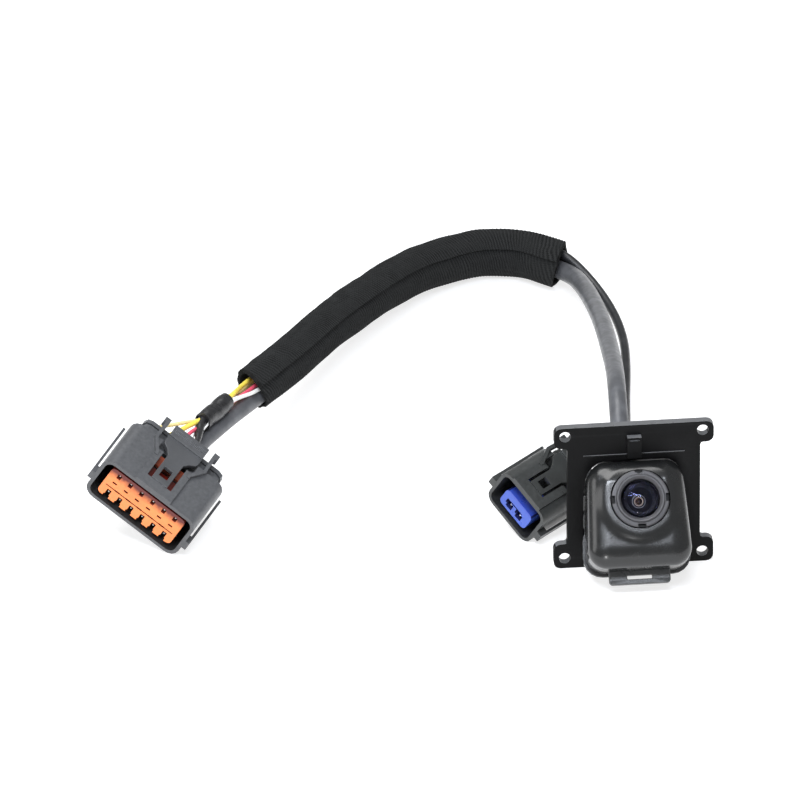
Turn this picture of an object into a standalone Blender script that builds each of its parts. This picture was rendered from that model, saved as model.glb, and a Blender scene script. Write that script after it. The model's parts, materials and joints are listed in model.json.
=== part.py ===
"""Backup camera kit: a camera module on a mounting plate, with its harness and two sealed connectors.

Lengths below are millimetres and the meshes are metres. +Z is up, the lens looks towards -Y, and the
origin is under the middle of the camera module, on the surface that the kit lies on.
"""

import math

import bmesh
import bpy
from mathutils import Matrix, Vector

MM = 0.001
GAP = 0.3

# Camera module: the plate stands upright and the camera looks up and forwards out of its window.
PLATE_FRONT_Y = 0.07
PLATE_THICKNESS = 2.6
PLATE_LOW, PLATE_HIGH = 0.0, 52.7
PLATE_HALF = 21.6
EAR_HALF = 26.0
TOP_EAR, BOTTOM_EAR = 7.7, 9.1
EAR_RADIUS = 2.4
HOLE_RADIUS = 1.9
HOLE_X, TOP_HOLE_Z, BOTTOM_HOLE_Z = 22.4, 49.5, 3.8
WINDOW_GAP = 0.4
HOOK_LOW, HOOK_HIGH, HOOK_HALF = 41.3, 49.0, 2.3
TILT = 40.0
FACE_Y, FACE_Z = -15.0, 28.9
BODY_HALF_X, BODY_HALF_Y, BODY_RADIUS = 17.2, 17.4, 6.5
BODY_TAPER = 0.1
FRONT_REAR, REAR_FRONT, BODY_REAR = -15.5, -16.6, -24.0
WALL = 1.8
LENS_X, LENS_UP = 0.7, 4.2
LENS_OPENING = 9.8
BEZEL_RADIUS, GLASS_RADIUS = 9.4, 6.0
TURRET_X, TURRET_Z = -2.0, -24.5

# Harness
CAMERA_CABLE, AUX_CABLE = 6.0, 2.9
WIRE, YELLOW_WIRE, CORE = 1.3, 1.6, 1.3
SLEEVE_OUTER, SLEEVE_WALL = 7.4, 0.9

# Connectors: front face centre, then turn about Z, nose-up pitch and roll, in degrees.
MAIN_PLACE, MAIN_TURN = (-158.0, 25.2, 16.5), (-31.7, 7.6, 31.8)
AUX_PLACE, AUX_TURN = (-36.1, 20.5, 11.5), (-48.8, 2.6, 34.5)

MAIN = dict(
    prefix="main_connector", terminals="main_terminal", half=18.4, low=-9.5, high=9.5, corner=4.0,
    depth=21.4, wall=1.3, rail=19.9, rail_low=-3.2, rail_high=0.2,
    tower=(-14.7, 14.7, -6.6, 6.6), columns=6, rows=(4.4, -4.4), wire_rows=(3.7, -4.3), pitch=4.5,
    raised_half=7.05, raised_high=10.4, stem=3.1, slot=1.6, window=(7.0, 11.6, 1.6),
    wide=6.7, flare=(16.5, 20.5), pad=(24.8, 29.0), arm=(14.4, 20.0, 10.3, 29.6),
    rear=(27.5, 15.5, -7.4, 6.4), retainer=(0.97, 0.32, 0.06),
)
AUX = dict(
    prefix="aux_connector", terminals="aux_terminal", half=10.6, low=-8.4, high=8.4, corner=3.6,
    depth=19.5, wall=1.2, rail=12.7, rail_low=-2.6, rail_high=0.6,
    tower=(-6.3, 6.4, -5.4, 2.2), columns=2, rows=(-2.9,), wire_rows=(-2.4,), pitch=4.6,
    raised_half=6.6, raised_high=9.3, stem=2.9, slot=0.9, window=(6.6, 10.2, 1.5),
    wide=6.2, flare=(13.8, 18.2), pad=(22.6, 26.6), arm=(12.6, 18.2, 9.6, 27.0),
    rear=(25.6, 8.6, -6.6, 4.4), retainer=(0.06, 0.12, 0.8),
)

BLACK_PLASTIC = ((0.02, 0.021, 0.022), 0.42, 0.0)
GREY_PLASTIC = ((0.07, 0.072, 0.075), 0.45, 0.0)
SEAL_RUBBER = ((0.25, 0.05, 0.03), 0.7, 0.0)
BLACK_RUBBER = ((0.015, 0.015, 0.015), 0.6, 0.0)
TINNED = ((0.7, 0.7, 0.68), 0.3, 1.0)
GLASS = ((0.02, 0.02, 0.06), 0.05, 0.0)
BOARD = ((0.02, 0.12, 0.05), 0.5, 0.0)
FELT = ((0.012, 0.013, 0.013), 0.95, 0.0)


def clear_scene():
    for obj in list(bpy.data.objects):
        bpy.data.objects.remove(obj, do_unlink=True)


def material(name, look):
    colour, roughness, metallic = look
    made = bpy.data.materials.new(name)
    made.use_nodes = True
    shader = made.node_tree.nodes["Principled BSDF"]
    shader.inputs["Base Color"].default_value = (*colour, 1.0)
    shader.inputs["Roughness"].default_value = roughness
    shader.inputs["Metallic"].default_value = metallic
    return made


def empty(name, place, matrix=None, parent=None):
    made = bpy.data.objects.new(name, None)
    bpy.context.collection.objects.link(made)
    made.parent = parent
    made.matrix_local = Matrix.Translation(Vector(place) * MM) @ (matrix or Matrix()).to_4x4()
    return made


def add_object(name, mesh, parent, look=None):
    mesh.shade_smooth()
    mesh.set_sharp_from_angle(angle=math.radians(35.0))
    made = bpy.data.objects.new(name, mesh)
    bpy.context.collection.objects.link(made)
    made.parent = parent
    if look:
        mesh.materials.append(material(name, look))
    return made


# Shapes: each returns a closed bmesh in millimetres.


def loft(sections):
    """A closed solid through equal-sized loops of points, capped at both ends."""
    bm = bmesh.new()
    loops = [[bm.verts.new(point) for point in section] for section in sections]
    count = len(loops[0])
    for one, two in zip(loops, loops[1:]):
        for i in range(count):
            j = (i + 1) % count
            bm.faces.new((one[i], one[j], two[j], two[i]))
    bm.faces.new(loops[0][::-1])
    bm.faces.new(loops[-1])
    bmesh.ops.recalc_face_normals(bm, faces=bm.faces)
    return bm


def rounded(half_x, half_y, radius, steps=4, centre=(0.0, 0.0)):
    """The points of a rectangle with round corners, anticlockwise."""
    points = []
    for corner, (sx, sy) in enumerate(((1, 1), (-1, 1), (-1, -1), (1, -1))):
        for step in range(steps + 1):
            angle = math.radians(90.0 * (corner + step / steps))
            points.append((
                centre[0] + sx * (half_x - radius) + radius * math.cos(angle),
                centre[1] + sy * (half_y - radius) + radius * math.sin(angle),
            ))
    return points


def along_z(outline, low, high):
    return loft([[(x, y, z) for x, y in outline] for z in (low, high)])


def along_y(outline, front, rear):
    """An outline in X and Z, extruded from y = front to y = rear."""
    return loft([[(x, y, z) for x, z in outline] for y in (front, rear)])


def block(x0, x1, y0, y1, z0, z1):
    return along_z([(x0, y0), (x1, y0), (x1, y1), (x0, y1)], z0, z1)


def turned(profile, steps=32, closed=True):
    """A ring turned about Z from a closed (radius, z) profile, or a solid whose profile ends on the axis."""
    bm = bmesh.new()
    rings = []
    for radius, z in profile:
        if radius == 0.0:
            rings.append([bm.verts.new((0.0, 0.0, z))])
            continue
        angles = (2.0 * math.pi * i / steps for i in range(steps))
        rings.append([bm.verts.new((radius * math.cos(a), radius * math.sin(a), z)) for a in angles])
    pairs = list(zip(rings, rings[1:]))
    if closed:
        pairs.append((rings[-1], rings[0]))
    for one, two in pairs:
        for i in range(steps):
            j = (i + 1) % steps
            corners = [one[i % len(one)], one[j % len(one)], two[j % len(two)], two[i % len(two)]]
            bm.faces.new(list(dict.fromkeys(corners)))
    bmesh.ops.recalc_face_normals(bm, faces=bm.faces)
    return bm


def cylinder(radius, low, high, steps=24):
    return turned([(0.0, low), (radius, low), (radius, high), (0.0, high)], steps, closed=False)


def placed(bm, move=(0.0, 0.0, 0.0), turn=None):
    matrix = Matrix.Translation(Vector(move)) @ (turn or Matrix()).to_4x4()
    bmesh.ops.transform(bm, matrix=matrix, verts=bm.verts)
    return bm


def to_mesh(name, bm):
    bmesh.ops.scale(bm, vec=(MM, MM, MM), verts=bm.verts)
    bmesh.ops.recalc_face_normals(bm, faces=bm.faces)
    mesh = bpy.data.meshes.new(name)
    bm.to_mesh(mesh)
    bm.free()
    return mesh


def solid(name, parent, look, base, add=(), cut=()):
    """One node: the base shape, with shapes joined to it and then cut from it."""
    made = add_object(name, to_mesh(name, base), parent, look)
    for operation, shapes in (("UNION", add), ("DIFFERENCE", cut)):
        for number, shape in enumerate(shapes):
            label = f"{name}_{operation.lower()}_{number}"
            helper = add_object(label, to_mesh(label, shape), parent)
            helper.hide_render = True
            helper.display_type = "WIRE"
            modifier = made.modifiers.new(label, "BOOLEAN")
            modifier.operation = operation
            modifier.solver = "EXACT"
            modifier.object = helper
    return made


# Camera module


def plate_outline():
    """Half of the plate's outline, from the top middle round the right side to the bottom middle."""
    ear, side = EAR_HALF, PLATE_HALF
    top, low = PLATE_HIGH, PLATE_LOW
    points = [(0.0, top)]

    def arc(x, z, radius, start, end, steps=4):
        for step in range(steps + 1):
            angle = math.radians(start + (end - start) * step / steps)
            points.append((x + radius * math.cos(angle), z + radius * math.sin(angle)))

    arc(ear - EAR_RADIUS, top - EAR_RADIUS, EAR_RADIUS, 90.0, 0.0)
    arc(ear - EAR_RADIUS, top - TOP_EAR + EAR_RADIUS, EAR_RADIUS, 0.0, -90.0)
    arc(side + 0.9, top - TOP_EAR - 0.9, 0.9, 90.0, 180.0, 2)
    arc(side + 0.9, low + BOTTOM_EAR + 0.9, 0.9, 180.0, 270.0, 2)
    arc(ear - EAR_RADIUS, low + BOTTOM_EAR - EAR_RADIUS, EAR_RADIUS, 90.0, 0.0)
    arc(ear - EAR_RADIUS, low + EAR_RADIUS, EAR_RADIUS, 0.0, -90.0)
    return points + [(0.0, low)]


def make_plate(parent):
    right = plate_outline()
    outline = right + [(-x, z) for x, z in reversed(right[1:-1])]
    stations = [(2.2 - WINDOW_GAP, BODY_REAR - WINDOW_GAP), (0.5 - WINDOW_GAP, BODY_REAR + 1.6),
                (-WINDOW_GAP, REAR_FRONT), (-WINDOW_GAP, 5.0)]
    window = placed(loft(body_sections(stations)), (0.0, FACE_Y, FACE_Z),
                    Matrix.Rotation(math.radians(90.0 - TILT), 3, "X"))
    across = Matrix.Rotation(math.radians(-90.0), 3, "X")
    holes = [
        placed(cylinder(HOLE_RADIUS, -1.0, PLATE_THICKNESS + 1.0, 20), (side * HOLE_X, 0.0, z), across)
        for side in (-1, 1) for z in (TOP_HOLE_Z, BOTTOM_HOLE_Z)
    ]
    rim = block(-16.5, 16.5, -0.45, 0.5, HOOK_LOW + 0.3, HOOK_LOW + 0.85)
    hook = block(-HOOK_HALF, HOOK_HALF, -2.0, 0.5, HOOK_LOW, HOOK_HIGH)
    hook_slot = block(-1.6, 1.6, -3.0, PLATE_THICKNESS + 1.0, HOOK_HIGH - 1.1, HOOK_HIGH - 0.4)
    solid("mounting_plate", parent, BLACK_PLASTIC, along_y(outline, 0.0, PLATE_THICKNESS),
          add=[rim, hook], cut=[window, *holes, hook_slot])


def tapered(outline):
    """The body and what fits inside it are narrower towards the top."""
    return [(x * (1.0 - BODY_TAPER * (y / BODY_HALF_Y + 1.0) / 2.0), y) for x, y in outline]


def body_outline(inset, steps=5):
    radius = max(BODY_RADIUS - 0.6 * inset, 2.0)
    return tapered(rounded(BODY_HALF_X - inset, BODY_HALF_Y - inset, radius, steps))


def body_sections(stations):
    """Loops of the camera body, each inset from the full outline and kept at its own depth."""
    return [[(x, y, z) for x, y in body_outline(inset)] for inset, z in stations]


def fillet(radius, depth, steps=5):
    """Inset and depth of a rounded front edge, from the side to the front face."""
    return [
        (radius * (1.0 - math.cos(math.radians(a))), depth - radius + radius * math.sin(math.radians(a)))
        for a in (90.0 * step / steps for step in range(steps + 1))
    ]


def make_housings(parent):
    outer = loft(body_sections([(0.0, FRONT_REAR), *fillet(5.0, 0.0)]))
    cavity = loft(body_sections([(WALL, FRONT_REAR - 1.0), (WALL, -5.5), (WALL + 2.5, -WALL)]))
    opening = placed(cylinder(LENS_OPENING, -4.0, 2.0, 32), (LENS_X, LENS_UP, 0.0))
    tab = placed(along_z(rounded(10.0, 2.8, 1.2, 3), -1.1, 1.1), (0.0, -BODY_HALF_Y - 1.5, -12.6))
    tab_slot = block(-4.2, 4.2, -BODY_HALF_Y - 2.7, -BODY_HALF_Y - 1.3, -16.0, -9.0)
    solid("front_housing", parent, BLACK_PLASTIC, outer, add=[tab], cut=[cavity, opening, tab_slot])

    outer = loft(body_sections([(2.2, BODY_REAR), (0.5, BODY_REAR + 1.8), (0.0, REAR_FRONT)]))
    lip = along_z(tapered(rounded(BODY_HALF_X + 0.6, 9.1, BODY_RADIUS, 5, (0.0, -9.0))),
                  REAR_FRONT - 1.6, REAR_FRONT)
    cavity = loft(body_sections([(WALL, BODY_REAR + WALL), (WALL, REAR_FRONT + 1.0)]))
    posts = [placed(cylinder(2.0, BODY_REAR + 1.0, -16.7, 12), (x, y, 0.0)) for x, y in board_posts()]
    bores = [placed(cylinder(1.0, BODY_REAR + 2.4, -16.0, 12), (x, y, 0.0)) for x, y in board_posts()]
    upright = Matrix.Rotation(math.radians(-90.0), 3, "X")
    turret = along_z(rounded(8.0, 8.1, 1.5, 2, (TURRET_X, 9.0)), -29.4, BODY_REAR + 1.0)
    boss = placed(cylinder(5.6, 16.0, 20.0, 24), (TURRET_X, 0.0, TURRET_Z), upright)
    bore = placed(cylinder(4.4, 5.0, 21.0, 20), (TURRET_X, 0.0, TURRET_Z), upright)
    link = block(TURRET_X - 3.0, TURRET_X + 3.0, 6.0, 13.0, TURRET_Z, BODY_REAR + WALL + 1.0)
    solid("rear_housing", parent, BLACK_PLASTIC, outer,
          add=[lip, turret, boss], cut=[cavity, bore, link])
    rear = bpy.data.objects["rear_housing"]
    for operation, shapes in (("UNION", posts), ("DIFFERENCE", bores)):
        for number, shape in enumerate(shapes):
            label = f"rear_housing_post_{operation.lower()}_{number}"
            helper = add_object(label, to_mesh(label, shape), parent)
            helper.hide_render = True
            helper.display_type = "WIRE"
            modifier = rear.modifiers.new(label, "BOOLEAN")
            modifier.operation = operation
            modifier.object = helper

    ring = along_z(body_outline(0.5), -16.3, -15.8)
    inside = along_z(body_outline(2.4), -17.0, -15.0)
    solid("housing_gasket", parent, SEAL_RUBBER, ring, cut=[inside])


def board_posts():
    return [(11.2, -12.2), (-10.6, 12.2)]


def make_lens(parent):
    """The lens stack, turned about its own axis, above the middle of the camera's face."""
    axis = empty("lens_axis", (LENS_X, LENS_UP, 0.0), parent=parent)
    bezel = turned([
        (GLASS_RADIUS + 0.4, -2.0), (BEZEL_RADIUS, -2.0), (BEZEL_RADIUS, 1.2), (8.9, 1.5), (8.0, 1.5),
        (7.7, 2.4), (7.2, 2.4), (GLASS_RADIUS + 0.4, 1.6),
    ], 40)
    notches = []
    for turn in range(4):
        spin = Matrix.Rotation(math.radians(90.0 * turn), 3, "Z")
        notches.append(placed(block(8.3, 10.5, -1.3, 1.3, 0.3, 3.0), turn=spin))
    solid("lens_bezel", axis, BLACK_PLASTIC, bezel, cut=notches)

    dome = [(0.0, -1.5), (GLASS_RADIUS, -1.5), (GLASS_RADIUS, 0.6)]
    dome += [(GLASS_RADIUS * math.cos(a), 0.6 + 1.9 * math.sin(a))
             for a in (math.radians(18.0 * step) for step in range(1, 5))]
    solid("front_lens", axis, GLASS, turned(dome + [(0.0, 2.5)], 32, closed=False))
    solid("lens_barrel", axis, BLACK_PLASTIC,
          turned([(4.2, -12.2), (GLASS_RADIUS, -12.2), (GLASS_RADIUS, -1.9), (4.2, -1.9)], 24))
    solid("inner_lens", axis, GLASS,
          turned([(0.0, -5.2), (3.8, -4.6), (3.8, -3.6), (0.0, -2.8)], 20, closed=False))
    solid("rear_lens", axis, GLASS,
          turned([(0.0, -9.4), (3.8, -8.9), (3.8, -8.2), (0.0, -7.4)], 20, closed=False))
    solid("lens_holder", axis, BLACK_PLASTIC, turned([
        (6.3, -14.6), (7.8, -14.6), (7.8, -5.6), (10.2, -5.6), (10.2, -4.5), (6.3, -4.5)], 24))
    ring = [(8.2 + 0.9 * math.cos(a), -3.3 + 0.9 * math.sin(a))
            for a in (math.radians(60.0 * step) for step in range(6))]
    solid("lens_seal_ring", axis, SEAL_RUBBER, turned(ring, 24))
    solid("infrared_filter", axis, GLASS, block(-3.4, 3.4, -3.4, 3.4, -13.2, -12.7))
    solid("image_sensor", axis, GREY_PLASTIC, block(-3.8, 3.8, -3.2, 3.2, -14.5, -13.6))


def make_boards(parent):
    corners = [placed(cylinder(1.25, -17.0, -14.0, 12), (x, y, 0.0)) for x, y in board_posts()]
    solid("sensor_board", parent, BOARD, along_z(tapered(rounded(13.6, 13.6, 1.5, 2)), -16.0, -14.9), cut=corners)
    solid("processor_board", parent, BOARD, along_z(rounded(13.0, 9.5, 1.0, 2), -19.7, -18.6))
    solid("board_connector", parent, GREY_PLASTIC, block(3.0, 11.0, -6.0, -2.5, -18.3, -16.3))
    for number, (x, y) in enumerate(board_posts(), 1):
        screw = turned([(0.0, -20.4), (0.7, -20.4), (0.7, -14.6), (1.9, -14.6), (1.7, -13.6), (0.0, -13.6)],
                       12, closed=False)
        solid(f"board_screw_{number}", parent, TINNED, placed(screw, (x, y, 0.0)))


def make_grommet(parent):
    upright = Matrix.Rotation(math.radians(-90.0), 3, "X")
    hole = CAMERA_CABLE / 2 + GAP
    profile = [(hole, 8.6), (4.1, 8.6), (4.1, 20.3), (5.7, 20.3), (5.7, 21.6), (4.9, 21.9), (4.6, 23.2),
               (4.2, 23.4), (4.3, 24.6), (3.9, 24.9), (3.9, 26.8), (hole, 27.0)]
    solid("cable_grommet", parent, BLACK_RUBBER,
          placed(turned(profile, 20), (TURRET_X, 0.0, TURRET_Z), upright))


# Connectors, in their own frames: X across, Y back towards the wires, Z towards the latch.


def cavities(spec, rows="rows"):
    middle = (spec["columns"] - 1) / 2
    return [((column - middle) * spec["pitch"], row)
            for row in spec[rows] for column in range(spec["columns"])]


def make_housing(spec, parent):
    half, low, high, wall, depth = (spec[key] for key in ("half", "low", "high", "wall", "depth"))
    rear, rear_half, rear_low, rear_high = spec["rear"]
    x0, x1, z0, z1 = spec["tower"]
    middle = (low + high) / 2
    hood = along_y([(x, z + middle) for x, z in rounded(half, (high - low) / 2, spec["corner"])], 0.0, depth)
    well = along_y([(x, z + middle) for x, z in
                    rounded(half - wall, (high - low) / 2 - wall, spec["corner"] - wall)], -1.0, depth - 2.0)
    add, cut = [], [well]
    tail_middle = (rear_low + rear_high) / 2
    tail_half = (rear_high - rear_low) / 2
    add.append(along_y([(x, z + tail_middle) for x, z in rounded(rear_half, tail_half, 2.5, 2)],
                       depth - 1.0, rear - 1.2))
    cut.append(along_y([(x, z + tail_middle) for x, z in rounded(rear_half - 1.1, tail_half - 1.1, 1.4, 2)],
                       depth + 0.6, rear))
    for side in (-1, 1):
        outer, inner = side * spec["rail"], side * (half - 0.5)
        bridge = sorted((outer, inner))
        add.append(block(*bridge, 0.0, 3.4, spec["rail_low"], spec["rail_high"]))
        bar = sorted((outer, outer - side * 0.9))
        add.append(block(*bar, 0.3, 24.2, spec["rail_low"] + 0.2, spec["rail_high"] - 0.2))
        start, end, wide, tip = spec["arm"]
        inside, thick = spec["raised_half"], 1.15
        path = [(inside - thick, start - 1.0), (inside, start - 1.0), (inside, start), (wide, end),
                (wide - 0.3, tip - 2.2), (wide + 0.6, tip - 1.7), (wide + 0.6, tip),
                (wide - 0.4 - thick, tip), (wide - thick, end + 0.3),
                (inside - thick, start + 0.4)]
        arm_low = high - 1.6
        arm = along_z([(side * x, y) for x, y in path][::side], arm_low, spec["raised_high"] + 0.3)
        add.append(arm)
    raised = spec["raised_half"]
    # The raised bridge is U-shaped: a front bar and two side bars around the latch lever.
    slot_half = spec["stem"] + spec["slot"]
    add.append(block(-raised, raised, 0.0, 4.0, high - 1.0, spec["raised_high"]))
    for side in (-1, 1):
        bar = sorted((side * raised, side * slot_half))
        add.append(block(*bar, 3.5, spec["arm"][0] + 0.4, high - 1.0, spec["raised_high"]))
    opening_low, opening_high = high - 3.0, spec["raised_high"] + 2.0
    cut.append(block(-slot_half, slot_half, 4.0, depth + 1.0, opening_low, opening_high))
    wide = spec["wide"] + 0.4
    cut.append(block(-wide, wide, spec["flare"][0] + 0.6, depth + 1.0, opening_low, opening_high))
    made = solid(spec["prefix"] + "_housing", parent, GREY_PLASTIC, hood, add=add, cut=cut)
    # The inner tower carries the terminals and stands free inside the hood.
    tower = block(x0 + 1.2, x1 - 1.2, 3.6, depth - 1.0, z0 + 1.2, z1 - 1.2)
    holes = [block(x - 0.8, x + 0.8, 2.0, depth + 1.0, z - 0.8, z + 0.8) for x, z in cavities(spec)]
    for operation, shapes in (("UNION", [tower]), ("DIFFERENCE", holes)):
        for number, shape in enumerate(shapes):
            label = f"{made.name}_tower_{operation.lower()}_{number}"
            helper = add_object(label, to_mesh(label, shape), parent)
            helper.hide_render = True
            helper.display_type = "WIRE"
            modifier = made.modifiers.new(label, "BOOLEAN")
            modifier.operation = operation
            modifier.object = helper


def retainer_windows(spec):
    """The retainer's openings: middle, half width, low and high edge, and depth from its face."""
    x0, x1, z0, z1 = spec["tower"]
    found = []
    for x, z in cavities(spec):
        if spec["columns"] == 2:
            found += [(x, 1.3, z - 1.3, z + 1.2, 4.0), (x - 1.0, 1.0, z - 0.2, z + 1.9, 1.2)]
        elif z > 0.0:
            found += [(x, 0.7, z - 1.0, z + 1.0, 4.0), (x, 0.8, 0.55, 1.25, 0.7)]
        else:
            found += [(x, 1.1, z0 - 1.0, z0 + 1.2, 4.0), (x, 0.8, z0 - 1.0, z + 0.8, 4.0),
                      (x, 0.8, -3.65, -2.95, 0.7)]
            if x < 10.0:
                found.append((x + spec["pitch"] / 2, 0.95, -1.95, -1.35, 1.3))
    middle = (x0 + x1) / 2
    if spec["columns"] == 2:
        return found + [(middle, 2.8, -1.4, -0.9, 1.0)]
    return found + [(middle, x1 - 1.2, -1.85, -1.45, 0.5)]


def make_retainer(spec, parent):
    """The coloured front retainer: a cap with terminal windows and a skirt round the tower."""
    x0, x1, z0, z1 = spec["tower"]
    middle = ((x0 + x1) / 2, (z0 + z1) / 2)
    outline = rounded((x1 - x0) / 2, (z1 - z0) / 2, 1.6, 3, middle)
    slide = empty(spec["prefix"] + "_retainer_slide", (0.0, 0.8, 0.0), parent=parent)
    inside = block(x0 + 0.9, x1 - 0.9, 2.5, 20.0, z0 + 0.9, z1 - 0.9)
    windows = [block(x - wide, x + wide, -1.0, deep, low, high)
               for x, wide, low, high, deep in retainer_windows(spec)]
    solid(spec["prefix"] + "_retainer", slide, (spec["retainer"], 0.4, 0.0),
          along_y(outline, 0.0, spec["depth"] - 10.4), cut=[inside, *windows])


def lever_outline(spec):
    """Half of the T-shaped lever seen from above, from its root to its rear edge."""
    stem, wide = spec["stem"], spec["wide"]
    start, end = spec["flare"]
    return [(stem, 4.3), (stem, start), (stem + 0.35 * (wide - stem), (start + end) / 2),
            (wide - 0.4, end - 0.5), (wide, end + 0.6), (wide, spec["pad"][0])]


def make_latch(spec, parent):
    """The lever hinges about its front root, just behind the bridge's front bar."""
    top = spec["raised_high"] - 0.1
    low = top - 1.5
    hinge = (0.0, 4.3, top - 0.75)
    pivot = empty(spec["prefix"] + "_latch_hinge", hinge, parent=parent)
    half = lever_outline(spec)
    outline = half + [(-x, y) for x, y in reversed(half)]
    front, rear = spec["pad"]
    pad = block(-spec["wide"], spec["wide"], front - 1.0, rear, low, top + 0.7)
    grooves = [block(-20.0, 20.0, y, y + 0.35, top + 0.35, top + 2.0) for y in (front + 1.0, front + 2.2)]
    back, front_edge = spec["window"][1], spec["window"][0]
    window = block(-spec["window"][2], spec["window"][2], front_edge, back, low - 2.0, top + 2.0)
    parts = [along_z(outline, low, top), pad, window, *grooves]
    for part in parts:
        placed(part, (-hinge[0], -hinge[1], -hinge[2]))
    solid(spec["prefix"] + "_latch", pivot, GREY_PLASTIC, parts[0], add=[parts[1]], cut=parts[2:])


def make_seals(spec, parent):
    x0, x1, z0, z1 = spec["tower"]
    middle = ((x0 + x1) / 2, (z0 + z1) / 2)
    half_x, half_z = (x1 - x0) / 2, (z1 - z0) / 2
    depth = spec["depth"]
    ring = along_y(rounded(half_x + 0.2, half_z + 0.2, 1.6, 2, middle), depth - 8.2, depth - 3.8)
    hole = along_y(rounded(half_x - 0.9, half_z - 0.9, 0.4, 2, middle), depth - 9.0, depth - 3.0)
    solid(spec["prefix"] + "_perimeter_seal", parent, SEAL_RUBBER, ring, cut=[hole])

    rear, rear_half, low, high = spec["rear"]
    centre = (0.0, (low + high) / 2)
    mat = along_y(rounded(rear_half - 1.5, (high - low) / 2 - 1.5, 1.2, 2, centre),
                  spec["depth"] + 0.9, rear - 1.5)
    holes = [block(x - 1.1, x + 1.1, 10.0, 40.0, z - 1.1, z + 1.1) for x, z in cavities(spec, "wire_rows")]
    solid(spec["prefix"] + "_wire_seal", parent, SEAL_RUBBER, mat, cut=holes)
    cover = along_y(rounded(rear_half + 0.3, (high - low) / 2 + 0.3, 2.5, 2, centre), rear - 0.9, rear + 0.7)
    holes = [block(x - 1.1, x + 1.1, 10.0, 40.0, z - 1.1, z + 1.1) for x, z in cavities(spec, "wire_rows")]
    solid(spec["prefix"] + "_rear_cover", parent, GREY_PLASTIC, cover, cut=holes)


def make_terminals(spec, parent):
    for number, (x, z) in enumerate(cavities(spec), 1):
        blade = loft([
            [(x + sx * a, y, z + sz * a) for sx, sz in ((-1, -1), (1, -1), (1, 1), (-1, 1))]
            for a, y in ((0.2, 1.5), (0.5, 2.2), (0.5, 12.0), (0.55, 12.0), (0.55, spec["depth"] + 0.6))
        ])
        bmesh.ops.remove_doubles(blade, verts=blade.verts, dist=0.001)
        solid(f"{spec['terminals']}_{number:02d}", parent, TINNED, blade)


def make_connector(spec, place, turn, parent):
    about, pitch, roll = (math.radians(angle) for angle in turn)
    matrix = (Matrix.Rotation(about, 3, "Z") @ Matrix.Rotation(pitch, 3, "X") @ Matrix.Rotation(roll, 3, "Y"))
    frame = empty(spec["prefix"] + "_frame", place, matrix, parent)
    make_housing(spec, frame)
    make_retainer(spec, frame)
    make_latch(spec, frame)
    make_seals(spec, frame)
    make_terminals(spec, frame)
    return Matrix.Translation(Vector(place)) @ matrix.to_4x4()


# Harness: smooth routes through points chosen by hand.


def smooth(points, step):
    """Points about one step apart on a centripetal Catmull-Rom curve through the given points."""
    points = [Vector(point) for point in points]
    points = [points[0] * 2 - points[1], *points, points[-1] * 2 - points[-2]]
    fine = []
    for a, b, c, d in zip(points, points[1:], points[2:], points[3:]):
        t1 = (b - a).length ** 0.5
        t2 = t1 + (c - b).length ** 0.5
        t3 = t2 + (d - c).length ** 0.5
        for i in range(24):
            t = t1 + (t2 - t1) * i / 24
            ab, bc, cd = a.lerp(b, t / t1), b.lerp(c, (t - t1) / (t2 - t1)), c.lerp(d, (t - t2) / (t3 - t2))
            abc, bcd = ab.lerp(bc, t / t2), bc.lerp(cd, (t - t1) / (t3 - t1))
            fine.append(abc.lerp(bcd, (t - t1) / (t2 - t1)))
    fine.append(points[-2])
    lengths = [0.0]
    for one, two in zip(fine, fine[1:]):
        lengths.append(lengths[-1] + (two - one).length)
    count = max(2, round(lengths[-1] / step))
    found, i = [], 0
    for number in range(count + 1):
        target = lengths[-1] * number / count
        while i < len(fine) - 2 and lengths[i + 1] < target:
            i += 1
        span = lengths[i + 1] - lengths[i]
        found.append(fine[i].lerp(fine[i + 1], (target - lengths[i]) / span))
    return found


def frames(points):
    """The tangent, the level sideways direction and the third direction at each point of a route."""
    found = []
    for i, point in enumerate(points):
        tangent = (points[min(i + 1, len(points) - 1)] - points[max(i - 1, 0)]).normalized()
        side = tangent.cross(Vector((0.0, 0.0, 1.0))).normalized()
        found.append((point, tangent, side, side.cross(tangent)))
    return found


def swept(points, outer, inner, sides):
    """A hollow tube along the points, open at both ends."""
    bm = bmesh.new()
    rings = []
    for radius in (outer, inner):
        shell = []
        for number, (point, _, side, up) in enumerate(frames(points)):
            size = radius(number / (len(points) - 1))
            shell.append([
                bm.verts.new(point + (side * math.cos(a) + up * math.sin(a)) * size)
                for a in (2.0 * math.pi * i / sides for i in range(sides))
            ])
        rings.append(shell)
    loop = rings[0] + rings[1][::-1]
    for one, two in zip(loop, loop[1:] + loop[:1]):
        for i in range(sides):
            j = (i + 1) % sides
            bm.faces.new((one[i], one[j], two[j], two[i]))
    bmesh.ops.recalc_face_normals(bm, faces=bm.faces)
    return bm


def cord(name, points, diameter, look, parent, resolution=2):
    curve = bpy.data.curves.new(name, "CURVE")
    curve.dimensions = "3D"
    spline = curve.splines.new("POLY")
    spline.points.add(len(points) - 1)
    for target, point in zip(spline.points, points):
        target.co = (*(Vector(point) * MM), 1.0)
    curve.bevel_depth = diameter / 2 * MM
    curve.bevel_resolution = resolution
    curve.use_fill_caps = True
    curve.materials.append(material(name, look))
    made = bpy.data.objects.new(name, curve)
    bpy.context.collection.objects.link(made)
    made.parent = parent


def camera_point(x, up, out):
    """A point of the camera's own frame, in the kit's frame."""
    tilt = math.radians(TILT)
    return (x, FACE_Y + up * math.sin(tilt) - out * math.cos(tilt),
            FACE_Z + up * math.cos(tilt) + out * math.sin(tilt))


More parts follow.
